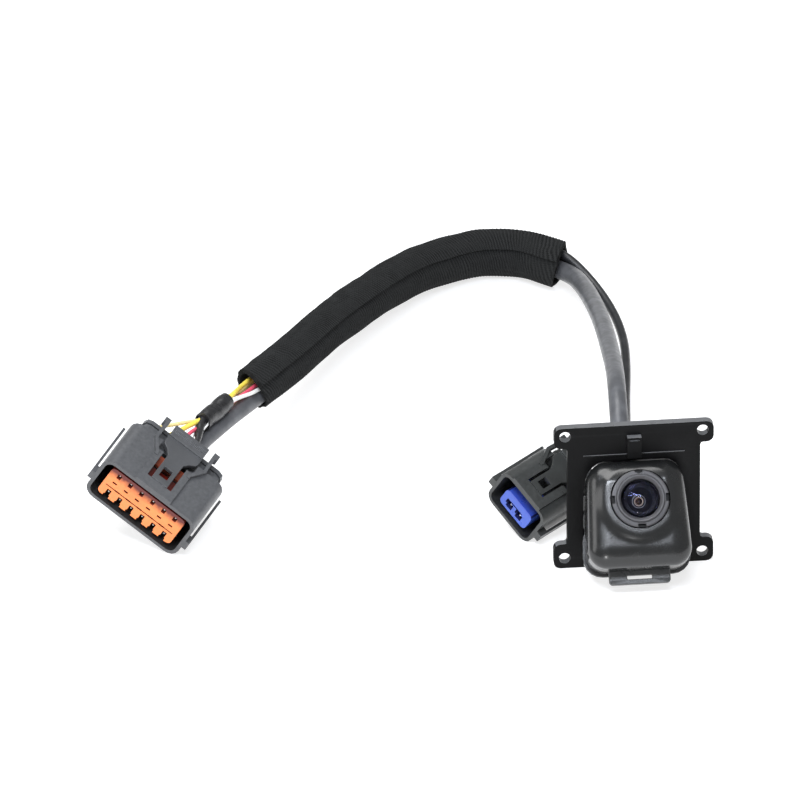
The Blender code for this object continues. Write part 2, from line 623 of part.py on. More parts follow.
SLEEVE_ROUTE = [(-5.0, 176.9, 8.2), (-16.6, 185.3, 8.0), (-30.1, 187.0, 8.0), (-44.0, 181.3, 8.6),
                (-56.8, 171.5, 10.0), (-83.1, 137.6, 14.5), (-100.3, 109.9, 18.0), (-115.3, 87.8, 20.5)]
CAMERA_FREE = [(-0.4, 50.0, 41.2), (0.4, 62.0, 38.2), (0.9, 75.0, 34.8), (1.4, 94.5, 29.8),
               (1.0, 117.6, 23.6), (-0.1, 139.5, 17.4), (-1.7, 158.2, 11.7), (-4.0, 169.6, 8.5)]
CAMERA_IN_SLEEVE = [(-11.5, 181.2, 6.3), (-22.1, 184.4, 6.3), (-33.5, 183.7, 6.5), (-45.5, 178.2, 7.2),
                    (-57.0, 168.7, 8.8), (-69.6, 153.5, 11.0), (-82.9, 135.0, 13.2),
                    (-99.3, 108.1, 16.7), (-113.9, 86.1, 19.2)]
CAMERA_TO_MAIN = [(-124.2, 73.8, 19.2), (-133.7, 62.5, 18.2)]
AUX_ROUTE = [(0.6, 57.0, 13.2), (4.4, 68.1, 8.6), (7.2, 82.1, 4.0), (9.3, 100.2, 1.9),
             (11.9, 122.3, 1.6), (12.9, 140.2, 1.9), (9.8, 156.2, 3.6), (3.8, 168.7, 8.0),
             (-3.1, 177.4, 10.7), (-14.6, 187.0, 11.0), (-30.0, 189.9, 11.2), (-46.1, 184.3, 11.9),
             (-59.1, 173.6, 13.3), (-84.9, 140.2, 17.7), (-98.8, 117.8, 20.4)]


def route_frame(points, place):
    """The frame of the route's point nearest a place."""
    return min(frames(points), key=lambda frame: (frame[0] - Vector(place)).length)


def beside(frame, low, near):
    """A point beside a route: low runs down and to the front, near runs up and to the front."""
    point, _, side, up = frame
    return point - side * (0.77 * low + 0.64 * near) + up * (-0.64 * low + 0.77 * near)


# Each wire: name, colour, diameter, offsets (low, near) in the sleeve and in the tape, terminal column.
WIRES = [
    ("yellow_wire", (0.85, 0.72, 0.12), YELLOW_WIRE, (-5.6, 1.0), (-4.9, 5.3), 1),
    ("pink_wire", (0.75, 0.16, 0.25), WIRE, (-2.9, 3.0), (-3.1, 3.5), 2),
    ("white_wire", (0.82, 0.82, 0.8), WIRE, (-1.3, 4.1), (-3.1, 5.3), 3),
    ("cream_wire", (0.8, 0.66, 0.42), WIRE, (-4.6, -2.0), (-4.9, 3.5), 0),
]
BUNDLE_START, SLEEVE_END = (-109.1, 93.8, 18.4), (-115.6, 84.1, 19.2)
TAPE_START, TAPE_END = (-122.8, 75.5, 19.2), (-131.4, 65.1, 18.4)
CORES = [("violet_core", (0.25, 0.1, 0.35), 8), ("grey_core", (0.3, 0.3, 0.32), 9),
         ("brown_core", (0.2, 0.09, 0.04), 10)]


def make_harness(main, aux, parent):
    exit_point = [camera_point(TURRET_X, up, TURRET_Z) for up in (9.2, 16.0, 22.0, 27.5)]
    arc = [(-1.8, 27.8, 39.5), (-1.4, 35.7, 42.4), (-1.0, 41.9, 42.7)]
    jacket_end = [main @ Vector((2.6, 40.5, -2.7)), main @ Vector((2.4, 35.4, -3.4))]
    camera = smooth(exit_point + arc + CAMERA_FREE + CAMERA_IN_SLEEVE + CAMERA_TO_MAIN + jacket_end, 8.6)
    cord("camera_cable", camera, CAMERA_CABLE, BLACK_RUBBER, parent, 3)
    sleeve = smooth(SLEEVE_ROUTE, 7.5)
    solid("textile_sleeve", parent, FELT, swept(
        sleeve, lambda t: SLEEVE_OUTER + 0.5 * (1.0 - t) ** 3,
        lambda t: SLEEVE_OUTER - SLEEVE_WALL + 0.5 * (1.0 - t) ** 3, 14))

    aux_start = [aux @ Vector((0.0, 38.0, -2.4)), aux @ Vector((0.2, 43.0, -2.0))]
    cord("aux_cable", smooth(aux_start + AUX_ROUTE, 8.0), AUX_CABLE, BLACK_RUBBER, parent)
    for number, x in ((1, -2.3), (2, 2.3)):
        near = 0.75 if x > 0 else -0.75
        route = [aux @ Vector(p) for p in ((x, 21.5, -2.4), (x, 28.0, -2.4), (near, 34.5, -2.4),
                                           (near, 37.6, -2.4))]
        cord(f"aux_wire_{number}", smooth(route, 3.2), CORE, BLACK_RUBBER, parent)

    fine = smooth(exit_point + arc + CAMERA_FREE + CAMERA_IN_SLEEVE + CAMERA_TO_MAIN + jacket_end, 1.0)
    start, mouth, tape_start, tape_end = (
        route_frame(fine, place) for place in (BUNDLE_START, SLEEVE_END, TAPE_START, TAPE_END))
    tape_middle = route_frame(fine, [(a + b) / 2 for a, b in zip(TAPE_START, TAPE_END)])
    columns = cavities(MAIN, "wire_rows")
    for name, colour, diameter, in_sleeve, in_tape, column in WIRES:
        x, z = columns[column]
        route = [beside(start, *in_sleeve), beside(mouth, *in_sleeve), beside(tape_start, *in_tape),
                 beside(tape_middle, *in_tape), beside(tape_end, *in_tape),
                 main @ Vector((0.75 * x - 0.8, 36.0, 4.6)), main @ Vector((x, 29.0, z)),
                 main @ Vector((x, 23.3, z))]
        cord(name, smooth(route, 3.4), diameter, (colour, 0.4, 0.0), parent)
    tape_route = [beside(frame, -4.0, 4.4) for frame in (tape_start, tape_middle, tape_end)]
    solid("tape_wrap", parent, BLACK_RUBBER, swept(
        smooth(tape_route, 3.4), lambda t: 2.75, lambda t: 2.4, 12))
    for number, (name, colour, column) in enumerate(CORES):
        x, z = columns[column]
        start_x = 2.4 + 1.7 * (number - 1)
        route = [main @ Vector(p) for p in ((start_x, 34.5, -3.4), (0.5 * (start_x + x), 32.2, -3.9),
                                            (x, 29.0, z), (x, 23.3, z))]
        cord(name, smooth(route, 3.0), CORE, (colour, 0.4, 0.0), parent)


def main():
    clear_scene()
    kit = empty("kit_frame", (0.0, PLATE_FRONT_Y, 0.0))
    make_plate(kit)
    tilt = Matrix.Rotation(math.radians(90.0 - TILT), 3, "X")
    camera = empty("camera_frame", (0.0, FACE_Y, FACE_Z), tilt, kit)
    make_housings(camera)
    make_lens(camera)
    make_boards(camera)
    make_grommet(camera)
    main_matrix = make_connector(MAIN, MAIN_PLACE, MAIN_TURN, kit)
    aux_matrix = make_connector(AUX, AUX_PLACE, AUX_TURN, kit)
    make_harness(main_matrix, aux_matrix, kit)


main()
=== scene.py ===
"""Looks for the backup camera kit: cords, textile sleeve, tape, lens and moulded plastics.

Lengths are millimetres unless a name says otherwise. Points given as "design" points have the
mounting plate's front at y = 0, as the CAD source does, and PLATE_FRONT_Y moves them into the frame.
"""

import json
import math

import bmesh
import bpy
from mathutils import Matrix, Vector, noise


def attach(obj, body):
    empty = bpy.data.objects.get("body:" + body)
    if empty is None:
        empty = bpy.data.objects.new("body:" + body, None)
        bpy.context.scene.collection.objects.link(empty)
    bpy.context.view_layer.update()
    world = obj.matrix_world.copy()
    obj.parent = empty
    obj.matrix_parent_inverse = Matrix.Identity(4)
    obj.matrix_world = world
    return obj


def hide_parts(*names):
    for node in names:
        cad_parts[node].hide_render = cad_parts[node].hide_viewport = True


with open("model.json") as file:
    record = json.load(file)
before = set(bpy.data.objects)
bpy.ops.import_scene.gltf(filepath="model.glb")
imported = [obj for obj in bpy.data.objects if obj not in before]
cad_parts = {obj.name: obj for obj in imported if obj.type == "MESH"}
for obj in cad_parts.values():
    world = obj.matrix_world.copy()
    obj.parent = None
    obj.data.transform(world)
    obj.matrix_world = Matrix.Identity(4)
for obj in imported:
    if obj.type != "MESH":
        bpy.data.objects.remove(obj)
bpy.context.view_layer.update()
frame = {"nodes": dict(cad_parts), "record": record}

MM = 0.001
PLATE_FRONT_Y = 0.07

# Camera and light
CAMERA_AZIMUTH, CAMERA_ELEVATION = -6.05, 31.0
CAMERA_TARGET = (-67.8, 77.8, 20.0)
CAMERA_DISTANCE = 12000.0
VIEW_WIDTH = 260.2
SENSOR_WIDTH = 36.0

# Camera module, as in the CAD
TILT = 40.0
FACE_Y, FACE_Z = -15.0, 28.9
BODY_HALF_X, BODY_HALF_Y, BODY_RADIUS = 17.2, 17.4, 6.5
BODY_TAPER = 0.1
FRONT_REAR = -15.5
FRONT_SOFT, FRONT_DROP = 6.8, 4.9
WALL = 1.8
LENS_X, LENS_UP = 0.7, 4.2
LENS_OPENING = 9.8
GLASS_RADIUS = 6.0
TURRET_X, TURRET_Z = -2.0, -24.5

# Connectors: front face centre, then turn about Z, nose-up pitch and roll
MAIN_PLACE, MAIN_TURN = (-158.0, 25.2, 16.5), (-31.7, 7.6, 31.8)
AUX_PLACE, AUX_TURN = (-36.1, 20.5, 11.5), (-48.8, 2.6, 34.5)

# Harness diameters, and the CAD's routes eased a little where the two cables lie side by side
CAMERA_CABLE, AUX_CABLE, WIRE, YELLOW_WIRE, CORE = 6.0, 2.9, 1.3, 1.6, 1.3
SLEEVE_OUTER, SLEEVE_WALL, SLEEVE_LAP = 7.4, 0.9, 7.0
SLEEVE_ROUTE = [(-5.0, 176.9, 8.2), (-16.6, 185.3, 8.0), (-30.1, 187.0, 8.0), (-44.0, 181.3, 8.6),
                (-56.8, 171.5, 10.0), (-83.1, 137.6, 14.5), (-100.3, 109.9, 18.0), (-115.3, 87.8, 20.5)]
CAMERA_FREE = [(-1.8, 27.8, 39.5), (-1.4, 35.7, 42.4), (-1.0, 41.9, 42.7), (-0.4, 50.0, 41.2),
               (0.4, 62.0, 38.2), (0.9, 75.0, 34.8), (1.6, 94.7, 29.8), (1.9, 118.2, 23.6),
               (1.4, 140.4, 17.4), (0.2, 159.4, 11.7), (-1.9, 171.2, 8.2)]
CAMERA_IN_SLEEVE = [(-10.8, 182.1, 6.2), (-22.1, 184.4, 6.3), (-33.5, 183.7, 6.5), (-45.5, 178.2, 7.2),
                    (-57.0, 168.7, 8.8), (-69.6, 153.5, 11.0), (-82.9, 135.0, 13.2),
                    (-99.3, 108.1, 16.7), (-113.9, 86.1, 19.2)]
CAMERA_TO_MAIN = [(-124.2, 73.8, 19.2), (-133.7, 62.5, 18.2)]
AUX_ROUTE = [(0.6, 57.0, 13.2), (4.4, 68.1, 8.6), (6.7, 82.1, 4.0), (8.6, 100.2, 1.9),
             (11.2, 122.3, 1.6), (12.1, 140.2, 1.8), (9.9, 156.8, 3.2), (4.2, 171.0, 6.6),
             (-3.1, 178.3, 11.4), (-14.6, 187.0, 11.3), (-30.0, 189.9, 11.2), (-46.1, 184.3, 11.9),
             (-59.1, 173.6, 13.3), (-84.9, 140.2, 17.7), (-98.8, 117.8, 20.4)]
BUNDLE_START, SLEEVE_END = (-109.1, 93.8, 18.4), (-115.6, 84.1, 19.2)
TAPE_START, TAPE_END = (-122.8, 75.5, 19.2), (-131.4, 65.1, 18.4)
# Each wire: name, diameter, offsets (low, near) in the sleeve and in the tape, terminal place (x, z).
WIRES = [
    ("yellow_wire", YELLOW_WIRE, (-5.6, 1.0), (-4.9, 5.3), (-6.75, 3.7)),
    ("pink_wire", WIRE, (-2.9, 3.0), (-3.1, 3.5), (-2.25, 3.7)),
    ("white_wire", WIRE, (-1.3, 4.1), (-3.1, 5.3), (2.25, 3.7)),
    ("cream_wire", WIRE, (-4.6, -2.0), (-4.9, 3.5), (-11.25, 3.7)),
]
CORES = [("violet_core", -2.25), ("grey_core", 2.25), ("brown_core", 6.75)]

# Knit ribs of the sleeve, the step of its outer layer at the seam, and where the seam runs
RIB_PITCH, RIB_SLANT = 1.15, 0.32
FLAP_STEP = 0.95
SEAM_ANGLE = math.radians(140.0)
# The side of the sleeve's band that is cut longer at its end mouth: up and to the front.
FACING = Vector((0.0, -0.86, 0.51))

nodes = frame["nodes"]


# Materials


class Look:
    """A procedural material under construction."""

    def __init__(self, name, colour, roughness, **sockets):
        self.material = bpy.data.materials.new(name)
        self.material.use_nodes = True
        self.tree = self.material.node_tree
        self.shader = self.tree.nodes["Principled BSDF"]
        self.shader.inputs["Base Color"].default_value = (*colour, 1.0)
        self.shader.inputs["Roughness"].default_value = roughness
        for socket, value in sockets.items():
            self.shader.inputs[socket.replace("_", " ")].default_value = value

    def add(self, kind, settings=(), **inputs):
        node = self.tree.nodes.new("ShaderNode" + kind)
        for key, value in dict(settings).items():
            setattr(node, key, value)
        for key, value in inputs.items():
            self.feed(value, node.inputs[key.replace("_", " ")])
        return node

    def feed(self, value, socket):
        if isinstance(value, bpy.types.NodeSocket):
            self.tree.links.new(value, socket)
        else:
            socket.default_value = value

    def place(self):
        return self.add("TexCoord").outputs["Object"]

    def noise(self, size, detail=2.0, place=None, roughness=0.5):
        """Noise whose features are about this many millimetres."""
        return self.add("TexNoise", Vector=place or self.place(), Scale=1.0 / (size * MM), Detail=detail,
                        Roughness=roughness).outputs["Fac"]

    def span(self, value, low, high, start=0.3, end=0.7):
        made = self.add("MapRange", Value=value)
        made.inputs["From Min"].default_value = start
        made.inputs["From Max"].default_value = end
        made.inputs["To Min"].default_value = low
        made.inputs["To Max"].default_value = high
        return made.outputs["Result"]

    def mixed(self, factor, one, two):
        made = self.add("Mix", {"data_type": "RGBA"})
        self.feed(factor, made.inputs["Factor"])
        self.feed((*one, 1.0) if isinstance(one, tuple) else one, made.inputs[6])
        self.feed((*two, 1.0) if isinstance(two, tuple) else two, made.inputs[7])
        return made.outputs[2]

    def maths(self, operation, one, two=0.0):
        made = self.add("Math", {"operation": operation})
        self.feed(one, made.inputs[0])
        self.feed(two, made.inputs[1])
        return made.outputs[0]

    def bump(self, height, distance, strength=1.0, normal=None):
        """Distance is the height in millimetres that a full step of the value stands for."""
        made = self.add("Bump", Height=height, Distance=distance * MM, Strength=strength)
        if normal:
            self.feed(normal, made.inputs["Normal"])
        return made.outputs["Normal"]

    def paint(self, colour=None, roughness=None, normal=None):
        for value, socket in ((colour, "Base Color"), (roughness, "Roughness"), (normal, "Normal")):
            if value is not None:
                self.feed(value, self.shader.inputs[socket])
        return self.material


def shade(colour, factor):
    return tuple(min(1.0, c * factor) for c in colour)


def moulded(name, colour, roughness, grain=0.25, depth=0.012, vary=0.12, worn=0.5, top_shade=None, **sockets):
    """Moulded plastic: fine spark-eroded grain, slow colour and gloss drift, and edges rubbed paler.

    top_shade is (low, high, colour): painted shade, the colour is reached between those heights of the
    piece's own frame, so the piece darkens towards its top.
    """
    look = Look(name, colour, roughness, **sockets)
    drift = look.noise(9.0, 3.0)
    body = look.mixed(look.span(drift, 0.0, 1.0), shade(colour, 1.0 - vary), shade(colour, 1.0 + vary))
    edge = look.span(look.add("NewGeometry").outputs["Pointiness"], 0.0, worn, 0.52, 0.6)
    scuff = look.maths("MULTIPLY", edge, look.span(look.noise(1.2, 3.0), 0.2, 1.0))
    pale = tuple(c * 1.5 + 0.02 for c in colour)
    # Painted shade: the colour darkens towards the piece's top, where the shell above shades it.
    if top_shade:
        place = look.add("Attribute", {"attribute_name": "own"}).outputs["Vector"]
        own = look.add("SeparateXYZ", Vector=place)
        height = look.maths("ADD", own.outputs["Z"], look.span(look.noise(1.5, 2.0), -0.4 * MM, 0.4 * MM))
        share = look.span(height, 0.0, 1.0, top_shade[0] * MM, top_shade[1] * MM)
        body = look.mixed(look.maths("POWER", share, 1.3), body, top_shade[2])
    gloss = look.span(look.noise(3.0, 4.0), roughness - 0.04, roughness + 0.05)
    height = look.noise(grain, 2.0)
    return look.paint(look.mixed(scuff, body, pale), gloss, look.bump(height, depth, 0.6))


def rubber(name, colour, roughness, grain=0.4, depth=0.02, **sockets):
    """Extruded or moulded rubber: dusty bloom in broad patches over a soft grain."""
    look = Look(name, colour, roughness, **sockets)
    bloom = look.span(look.noise(5.0, 4.0), 0.0, 1.0, 0.42, 0.72)
    body = look.mixed(bloom, shade(colour, 0.85), tuple(c * 1.25 + 0.006 for c in colour))
    gloss = look.span(look.noise(1.8, 3.0), roughness - 0.06, roughness + 0.08)
    return look.paint(body, gloss, look.bump(look.noise(grain, 3.0), depth, 0.7))


def insulated(name, colour, roughness=0.32, **sockets):
    """Thin wall wire insulation: faint drawn streaks and handling marks."""
    look = Look(name, colour, roughness, **sockets)
    marks = look.span(look.noise(0.9, 4.0), 0.0, 1.0, 0.5, 0.75)
    body = look.mixed(marks, colour, shade(colour, 0.8))
    gloss = look.span(look.noise(2.0, 2.0), roughness - 0.05, roughness + 0.1)
    return look.paint(body, gloss, look.bump(look.noise(0.35, 2.0), 0.01, 0.5))


def metal(name, colour, roughness):
    look = Look(name, colour, roughness, Metallic=1.0)
    body = look.mixed(look.span(look.noise(0.8, 4.0), 0.0, 1.0), colour, shade(colour, 0.7))
    return look.paint(body, look.span(look.noise(0.5, 3.0), roughness, roughness + 0.2),
                      look.bump(look.noise(0.2, 2.0), 0.006, 0.5))


def circuit(name, colour):
    """Solder mask with copper tracks showing as raised, paler lines."""
    look = Look(name, colour, 0.4)
    tracks = look.add("TexBrick", Vector=look.place(), Scale=400.0).outputs["Fac"]
    body = look.mixed(tracks, colour, shade(colour, 1.8))
    return look.paint(body, None, look.bump(tracks, 0.03, 0.6))


def knitted(name, colour):
    """Knitted felt on a sleeve, from its "route" attribute: metres along, metres round, layer."""
    look = Look(name, colour, 0.95, Sheen_Weight=0.02, Sheen_Roughness=0.6, Specular_IOR_Level=0.06)
    route = look.add("Attribute", {"attribute_name": "route"}).outputs["Vector"]
    split = look.add("SeparateXYZ", Vector=route)
    along, around = split.outputs["X"], split.outputs["Y"]
    wander = look.span(look.noise(5.0, 3.0, route), -2.2, 2.2)
    slant = look.maths("ADD", along, look.maths("MULTIPLY", around, RIB_SLANT))
    turns = look.maths("ADD", look.maths("MULTIPLY", slant, 2.0 * math.pi / (RIB_PITCH * MM)), wander)
    ribs = look.maths("SINE", turns)
    courses = look.maths("SINE", look.maths("MULTIPLY", around, 2.0 * math.pi / (0.55 * MM)))
    loops = look.maths("MULTIPLY", courses, look.maths("COSINE", turns))
    fuzz = look.noise(0.35, 4.0, route, 0.7)
    faint = look.span(look.noise(7.0, 3.0, route), 0.08, 0.45)
    relief = look.maths("ADD", look.maths("MULTIPLY", ribs, faint), look.maths("MULTIPLY", loops, 0.3))
    relief = look.maths("ADD", relief, look.maths("MULTIPLY", fuzz, 1.3))
    tone = look.span(relief, 0.0, 1.0, 0.1, 1.3)
    body = look.mixed(tone, shade(colour, 0.35), shade(colour, 2.2))
    lint = look.span(look.noise(1.1, 2.0, route), 0.0, 0.5, 0.74, 0.8)
    body = look.mixed(lint, body, (0.06, 0.06, 0.064))
    return look.paint(body, None, look.bump(relief, 0.2, 1.0))


def taped(name, colour):
    """Glossy vinyl tape with stretch wrinkles across its winding."""
    look = Look(name, colour, 0.28, Coat_Weight=0.15)
    route = look.add("Attribute", {"attribute_name": "route"}).outputs["Vector"]
    stretched = look.add("Mapping", Vector=route)
    stretched.inputs["Scale"].default_value = (1.0, 0.25, 1.0)
    wrinkles = look.noise(1.0, 3.0, stretched.outputs["Vector"])
    body = look.mixed(look.span(wrinkles, 0.0, 1.0), shade(colour, 0.8), shade(colour, 1.5))
    return look.paint(body, look.span(wrinkles, 0.22, 0.42), look.bump(wrinkles, 0.09, 0.7))


PLATE = moulded("plate_moulding", (0.004, 0.004, 0.0042), 0.34, grain=0.22, depth=0.015, worn=0.2,
                Specular_IOR_Level=0.1)
# Painted highlight: a paler copy of the plate's plastic for its upward-facing faces, standing in for overhead
# light on the top edge.
PLATE_TOP_HIGHLIGHT = moulded("plate_top_painted_highlight", (0.11, 0.112, 0.115), 0.3, grain=0.22, depth=0.015)
BODY = moulded("body_moulding", (0.009, 0.0095, 0.0097), 0.24, grain=0.2, depth=0.006, worn=0.25,
               Coat_Weight=0.2, Coat_Roughness=0.16)
BEZEL = moulded("bezel_moulding", (0.045, 0.044, 0.048), 0.42, grain=0.15, depth=0.01, worn=0.2)
INNER_PLASTIC = moulded("barrel_moulding", (0.0025, 0.0025, 0.003), 0.5, grain=0.2, depth=0.01,
                        Specular_IOR_Level=0.2)
GREY_SHELL = moulded("grey_shell_moulding", (0.062, 0.064, 0.068), 0.36, grain=0.22, depth=0.014)
DARK_SHELL = moulded("dark_shell_moulding", (0.022, 0.024, 0.0235), 0.36, grain=0.22, depth=0.014)
# Painted shade: a darker copy of the shell plastic for the faces inside each connector's hood, where shade
# falls.
HOOD_PAINTED_SHADE = moulded("hood_painted_shade", (0.008, 0.0085, 0.0085), 0.5, grain=0.22, depth=0.014)
# Orange retainer, with painted shade turning it dark red towards its top under the shell's upper lip.
ORANGE = moulded("orange_moulding", (0.95, 0.26, 0.07), 0.34, grain=0.3, depth=0.008, vary=0.08, worn=0.0,
                 top_shade=(1.9, 5.3, (0.12, 0.008, 0.003)))
# Painted shade: dark red-brown for the faces inside the orange retainer's holes and recesses, where shade
# falls.
ORANGE_HOLE_SHADE = moulded("orange_hole_painted_shade", (0.14, 0.016, 0.006), 0.5, grain=0.3, depth=0.008, worn=0.0)
# Blue retainer, with painted shade darkening it towards its top.
BLUE = moulded("blue_moulding", (0.045, 0.1, 0.48), 0.3, grain=0.3, depth=0.008, vary=0.08, worn=0.1,
               top_shade=(1.0, 2.3, (0.03, 0.06, 0.42)))
# Painted shade: deep blue for the faces inside the blue retainer's holes, where shade falls.
BLUE_HOLE_SHADE = moulded("blue_hole_painted_shade", (0.008, 0.012, 0.08), 0.45, grain=0.3, depth=0.008, worn=0.0)
REAR_SHELL = moulded("rear_shell_moulding", (0.04, 0.041, 0.042), 0.28, grain=0.2, depth=0.006)
# Painted light: the tab is the body's plastic, given a paler colour to stand in for the light it catches.
TAB_PAINTED_LIGHT = moulded("tab_painted_light_moulding", (0.05, 0.052, 0.053), 0.3, grain=0.2, depth=0.006)
SEAL = rubber("seal_silicone", (0.3, 0.06, 0.025), 0.5)
GASKET = rubber("gasket_silicone", (0.22, 0.04, 0.03), 0.55)
BLACK_RUBBER = rubber("black_rubber", (0.014, 0.014, 0.015), 0.5)
JACKET = rubber("cable_jacket", (0.09, 0.093, 0.1), 0.36, grain=0.5, depth=0.02)
THIN_JACKET = rubber("thin_cable_jacket", (0.018, 0.019, 0.021), 0.38, grain=0.5, depth=0.02)
FELT = knitted("knitted_felt", (0.015, 0.0156, 0.0156))
TAPE = taped("vinyl_tape", (0.012, 0.012, 0.013))
YELLOW = insulated("yellow_insulation", (0.9, 0.72, 0.1))
PINK = insulated("pink_insulation", (0.72, 0.09, 0.15))
WHITE = insulated("white_insulation", (0.82, 0.82, 0.8))
CREAM = insulated("cream_insulation", (0.85, 0.7, 0.34))
VIOLET = insulated("violet_insulation", (0.2, 0.06, 0.26))
GREY = insulated("grey_insulation", (0.28, 0.28, 0.3))
BROWN = insulated("brown_insulation", (0.16, 0.06, 0.03))
BLACK_WIRE = insulated("black_insulation", (0.02, 0.02, 0.022))
TINNED = metal("tinned_contact", (0.72, 0.71, 0.68), 0.28)
BOARD = circuit("solder_mask", (0.015, 0.1, 0.04))


def coated_glass():
    """Front element: clear glass whose coating reflects blue to violet."""
    look = Look("coated_glass", (0.86, 0.88, 1.0), 0.012, Transmission_Weight=1.0, IOR=1.2)
    look.shader.inputs["Specular Tint"].default_value = (0.42, 0.48, 1.0, 1.0)
    dust = look.span(look.noise(0.5, 3.0), 0.008, 0.03, 0.6, 0.8)
    return look.paint(None, dust)


def inner_coating(name, colour, roughness=0.12, **sockets):
    look = Look(name, colour, roughness, **sockets)
    rings = look.span(look.noise(0.3, 2.0), roughness, roughness + 0.1)
    body = look.mixed(look.span(look.noise(0.6, 3.0), 0.0, 1.0), colour, shade(colour, 0.75))
    return look.paint(body, rings)


GLASS = coated_glass()


# Shapes


def object_from(name, bm, look, smooth_below=40.0):
    """A new object from a bmesh in metres, with soft shading and hard edges kept."""
    bmesh.ops.recalc_face_normals(bm, faces=bm.faces)
    mesh = bpy.data.meshes.new(name)
    bm.to_mesh(mesh)
    bm.free()
    mesh.shade_smooth()
    mesh.set_sharp_from_angle(angle=math.radians(smooth_below))
    mesh.materials.append(look)
    made = bpy.data.objects.new(name, mesh)
    bpy.context.scene.collection.objects.link(made)
    return made


def finish_piece(made, body, slot, *replaced):
    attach(made, body)
    if replaced:
        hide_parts(*replaced)
    return made


def moulding(node, look, edge, slot, body="kit", segments=2, matrix=Matrix(), second=None, chosen=None):
    """A node's shape with its edges rounded as a mould leaves them, standing for the node.

    matrix takes the piece's own millimetres into design points: the "own" attribute holds them in
    metres, and chosen(centre, normal) picks the faces that get the second look.
    """
    bm = bmesh.new()
    bm.from_mesh(nodes[node].data)
    bmesh.ops.transform(bm, matrix=nodes[node].matrix_world, verts=bm.verts)
    bmesh.ops.remove_doubles(bm, verts=bm.verts, dist=2e-6)
    bmesh.ops.dissolve_limit(bm, angle_limit=math.radians(0.6), verts=bm.verts, edges=bm.edges)
    bm.normal_update()
    back = matrix.inverted() @ Matrix.Translation((0.0, -PLATE_FRONT_Y, 0.0)) @ Matrix.Scale(1.0 / MM, 4)
    turned = matrix.to_3x3().inverted()
    layer = bm.verts.layers.float_vector.new("own")
    for vert in bm.verts:
        vert[layer] = (back @ vert.co) * MM
    if chosen:
        for face in bm.faces:
            face.material_index = int(chosen(back @ face.calc_center_median(), turned @ face.normal))
    made = object_from(node + "_moulding", bm, look, 30.0)
    if chosen:
        made.data.materials.append(second)
    bevel = made.modifiers.new("rounded_edges", "BEVEL")
    bevel.width = edge * MM
    bevel.segments = segments
    bevel.limit_method = "ANGLE"
    bevel.angle_limit = math.radians(32.0)
    bevel.use_clamp_overlap = True
    bevel.harden_normals = False
    soft = made.modifiers.new("face_weighted_shading", "WEIGHTED_NORMAL")
    soft.keep_sharp = False
    soft.weight = 60
    return finish_piece(made, body, slot, node)


def lathe(name, profile, look, steps=64, matrix=Matrix(), closed=True):
    """A shape turned about Z from (radius, z) points in millimetres."""
    bm = bmesh.new()
    rings = []
    for radius, z in profile:
        count = 1 if radius == 0.0 else steps
        rings.append([bm.verts.new((radius * math.cos(a), radius * math.sin(a), z))
                      for a in (2.0 * math.pi * i / steps for i in range(count))])
    pairs = list(zip(rings, rings[1:])) + ([(rings[-1], rings[0])] if closed else [])
    for one, two in pairs:
        for i in range(steps):
            j = (i + 1) % steps
            corners = [one[i % len(one)], one[j % len(one)], two[j % len(two)], two[i % len(two)]]
            bm.faces.new(list(dict.fromkeys(corners)))
    bmesh.ops.transform(bm, matrix=matrix @ Matrix.Scale(MM, 4), verts=bm.verts)
    return object_from(name, bm, look, 35.0)


def in_frame(point):
    """A design point in millimetres as a point of the frame in metres."""
    return (Vector(point) + Vector((0.0, PLATE_FRONT_Y, 0.0))) * MM


def smooth(points, step):
    """Points about one step apart on a centripetal Catmull-Rom curve through the given points."""
    points = [Vector(point) for point in points]
    points = [points[0] * 2 - points[1], *points, points[-1] * 2 - points[-2]]
    fine = []
    for a, b, c, d in zip(points, points[1:], points[2:], points[3:]):
        t1 = (b - a).length ** 0.5
        t2 = t1 + (c - b).length ** 0.5
        t3 = t2 + (d - c).length ** 0.5
        for i in range(24):
            t = t1 + (t2 - t1) * i / 24
            ab, bc, cd = a.lerp(b, t / t1), b.lerp(c, (t - t1) / (t2 - t1)), c.lerp(d, (t - t2) / (t3 - t2))
            abc, bcd = ab.lerp(bc, t / t2), bc.lerp(cd, (t - t1) / (t3 - t1))
            fine.append(abc.lerp(bcd, (t - t1) / (t2 - t1)))
    fine.append(points[-2])
    lengths = [0.0]
    for one, two in zip(fine, fine[1:]):
        lengths.append(lengths[-1] + (two - one).length)
    count = max(2, round(lengths[-1] / step))
    found, i = [], 0
    for number in range(count + 1):
        target = lengths[-1] * number / count
        while i < len(fine) - 2 and lengths[i + 1] < target:
            i += 1
        span = lengths[i + 1] - lengths[i]
        found.append(fine[i].lerp(fine[i + 1], (target - lengths[i]) / span))
    return found


def relaxed(points, passes=8):
    """The route with its tightest bends eased, as a stiff cable eases them."""
    for _ in range(passes):
        points = [points[0], *((a + 2.0 * b + c) / 4.0 for a, b, c in zip(points, points[1:], points[2:])),
                  points[-1]]
    return points


def length_of(points):
    return sum((two - one).length for one, two in zip(points, points[1:]))


def frames(points):
    """The tangent, the level sideways direction and the third direction at each point of a route."""
    found = []
    for i, point in enumerate(points):
        tangent = (points[min(i + 1, len(points) - 1)] - points[max(i - 1, 0)]).normalized()
        side = tangent.cross(Vector((0.0, 0.0, 1.0))).normalized()
        found.append((point, tangent, side, side.cross(tangent)))
    return found


def route_frame(points, place):
    return min(frames(points), key=lambda one: (one[0] - Vector(place)).length)


def beside(one, low, near):
    """A point beside a route: low runs down and to the front, near runs up and to the front."""
    point, _, side, up = one
    return point - side * (0.77 * low + 0.64 * near) + up * (-0.64 * low + 0.77 * near)


